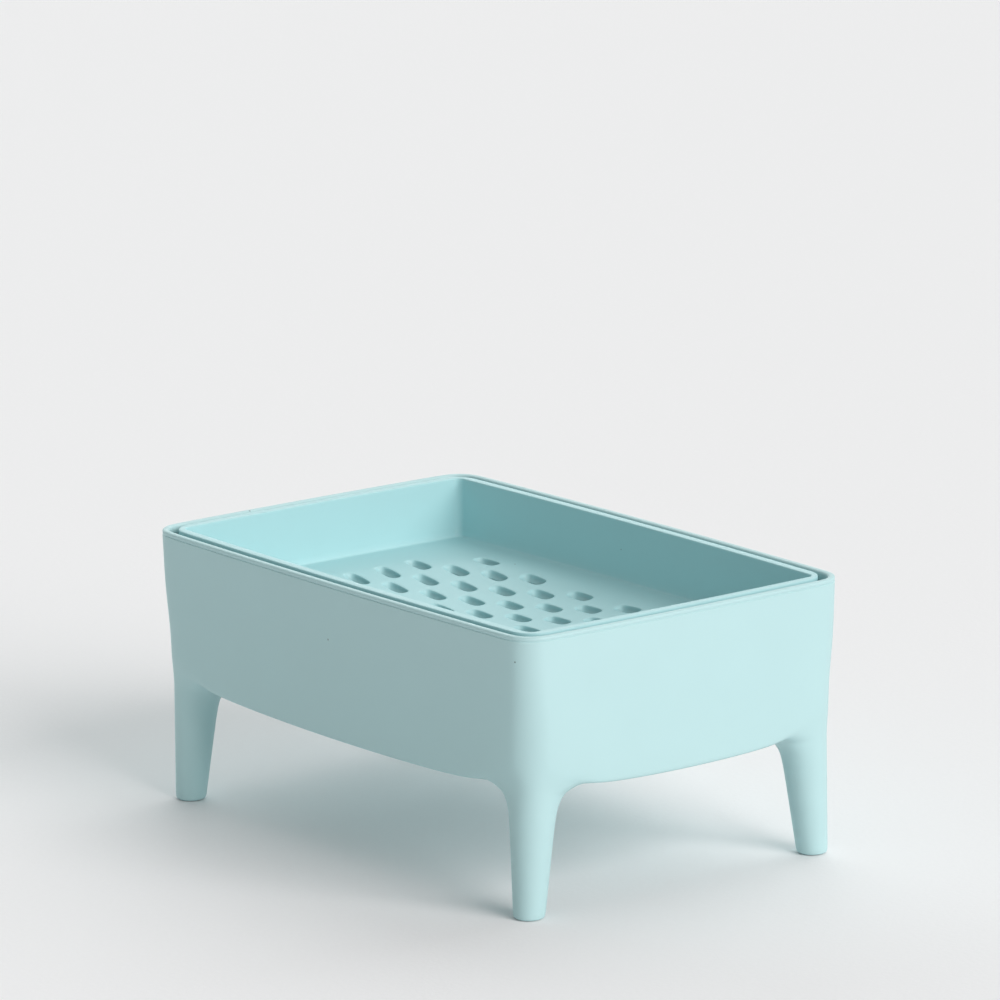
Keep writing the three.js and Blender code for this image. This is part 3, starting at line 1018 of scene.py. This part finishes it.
def place_camera(scene, studio):
    """The camera at the photograph's angle."""
    turn, lift = studio.azimuth, studio.elevation
    back = Vector((math.sin(turn) * math.cos(lift), -math.cos(turn) * math.cos(lift), math.sin(lift)))
    level_right = Vector((math.cos(turn), math.sin(turn), 0))
    level_up = back.cross(level_right)
    right = level_right * math.cos(studio.roll) + level_up * math.sin(studio.roll)
    up = level_up * math.cos(studio.roll) - level_right * math.sin(studio.roll)
    place = right * studio.aim[0] + up * studio.aim[1] + back * studio.distance
    data = bpy.data.cameras.new("camera")
    data.lens = studio.lens
    data.sensor_width = SENSOR_WIDTH
    data.clip_start = CLIP_START
    data.clip_end = CLIP_END
    camera = bpy.data.objects.new("camera", data)
    camera.matrix_world = Matrix.Translation(place) @ Matrix((right, up, back)).transposed().to_4x4()
    scene.collection.objects.link(camera)
    scene.camera = camera


# Operators

class SOAPDISH_OT_catch_bowl(Operator):
    """Model the catch bowl on its four legs"""

    bl_idname = "soap_dish.catch_bowl"
    bl_label = "Catch Bowl"

    def execute(self, context):
        settings = context.scene.soap_dish
        piece = model_bowl(settings)
        finish = settings.finish
        piece.data.materials.clear()
        piece.data.materials.append(satin_plastic("bowl_satin", finish.bowl_colour, finish.roughness))
        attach(piece, "bowl")
        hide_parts("catch_bowl")
        return {"FINISHED"}


class SOAPDISH_OT_soap_tray(Operator):
    """Model the soap tray with its drain scoops"""

    bl_idname = "soap_dish.soap_tray"
    bl_label = "Soap Tray"

    def execute(self, context):
        settings = context.scene.soap_dish
        piece = model_tray(settings)
        finish = settings.finish
        piece.data.materials.clear()
        # The tray's colour has less red than the bowl's same plastic: painted shade for its shaded inside
        piece.data.materials.append(satin_plastic("tray_satin_with_painted_shade", finish.tray_colour_with_painted_shade, finish.roughness))
        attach(piece, "tray")
        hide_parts("soap_tray")
        return {"FINISHED"}


class SOAPDISH_OT_stage(Operator):
    """Set up the floor, the light and the camera"""

    bl_idname = "soap_dish.stage"
    bl_label = "Stage"

    def execute(self, context):
        studio = context.scene.soap_dish.studio
        deselect_objects()
        bpy.ops.mesh.primitive_plane_add(size=FLOOR_SIZE)
        floor = context.object
        floor.name = "floor"
        floor.data.materials.append(matte_paper("pale_paper", studio.floor_colour))
        place_lights(context.scene, studio)
        place_camera(context.scene, studio)
        context.scene.view_settings.view_transform = "Standard"
        return {"FINISHED"}


class SOAPDISH_PT_sidebar(Panel):
    """Sidebar with the dish's sizes, finish and stage"""

    bl_idname = "SOAPDISH_PT_sidebar"
    bl_label = "Soap Dish"
    bl_space_type = "VIEW_3D"
    bl_region_type = "UI"
    bl_category = "Soap Dish"

    def draw(self, context):
        settings = context.scene.soap_dish
        for operator in OPERATORS:
            self.layout.operator(operator.bl_idname)
        for group in (settings.bowl, settings.tray, settings.finish, settings.studio):
            box = self.layout.box()
            for name in group.__annotations__:
                box.prop(group, name)


OPERATORS = (SOAPDISH_OT_catch_bowl, SOAPDISH_OT_soap_tray, SOAPDISH_OT_stage)
CLASSES = (
    CatchBowlSizes, SoapTraySizes, DishFinish, StudioSettings, SoapDishSettings,
    *OPERATORS, SOAPDISH_PT_sidebar,
)


def register():
    """Register the classes and hang the settings on the scene."""
    for cls in CLASSES:
        bpy.utils.register_class(cls)
    bpy.types.Scene.soap_dish = PointerProperty(type=SoapDishSettings)


def unregister():
    """Take the settings and the classes away again."""
    del bpy.types.Scene.soap_dish
    for cls in reversed(CLASSES):
        bpy.utils.unregister_class(cls)


def main():
    """Register the add-on and build the dish and its stage."""
    register()
    bpy.ops.soap_dish.catch_bowl()
    bpy.ops.soap_dish.soap_tray()
    bpy.ops.soap_dish.stage()


if __name__ == "__main__":
    main()
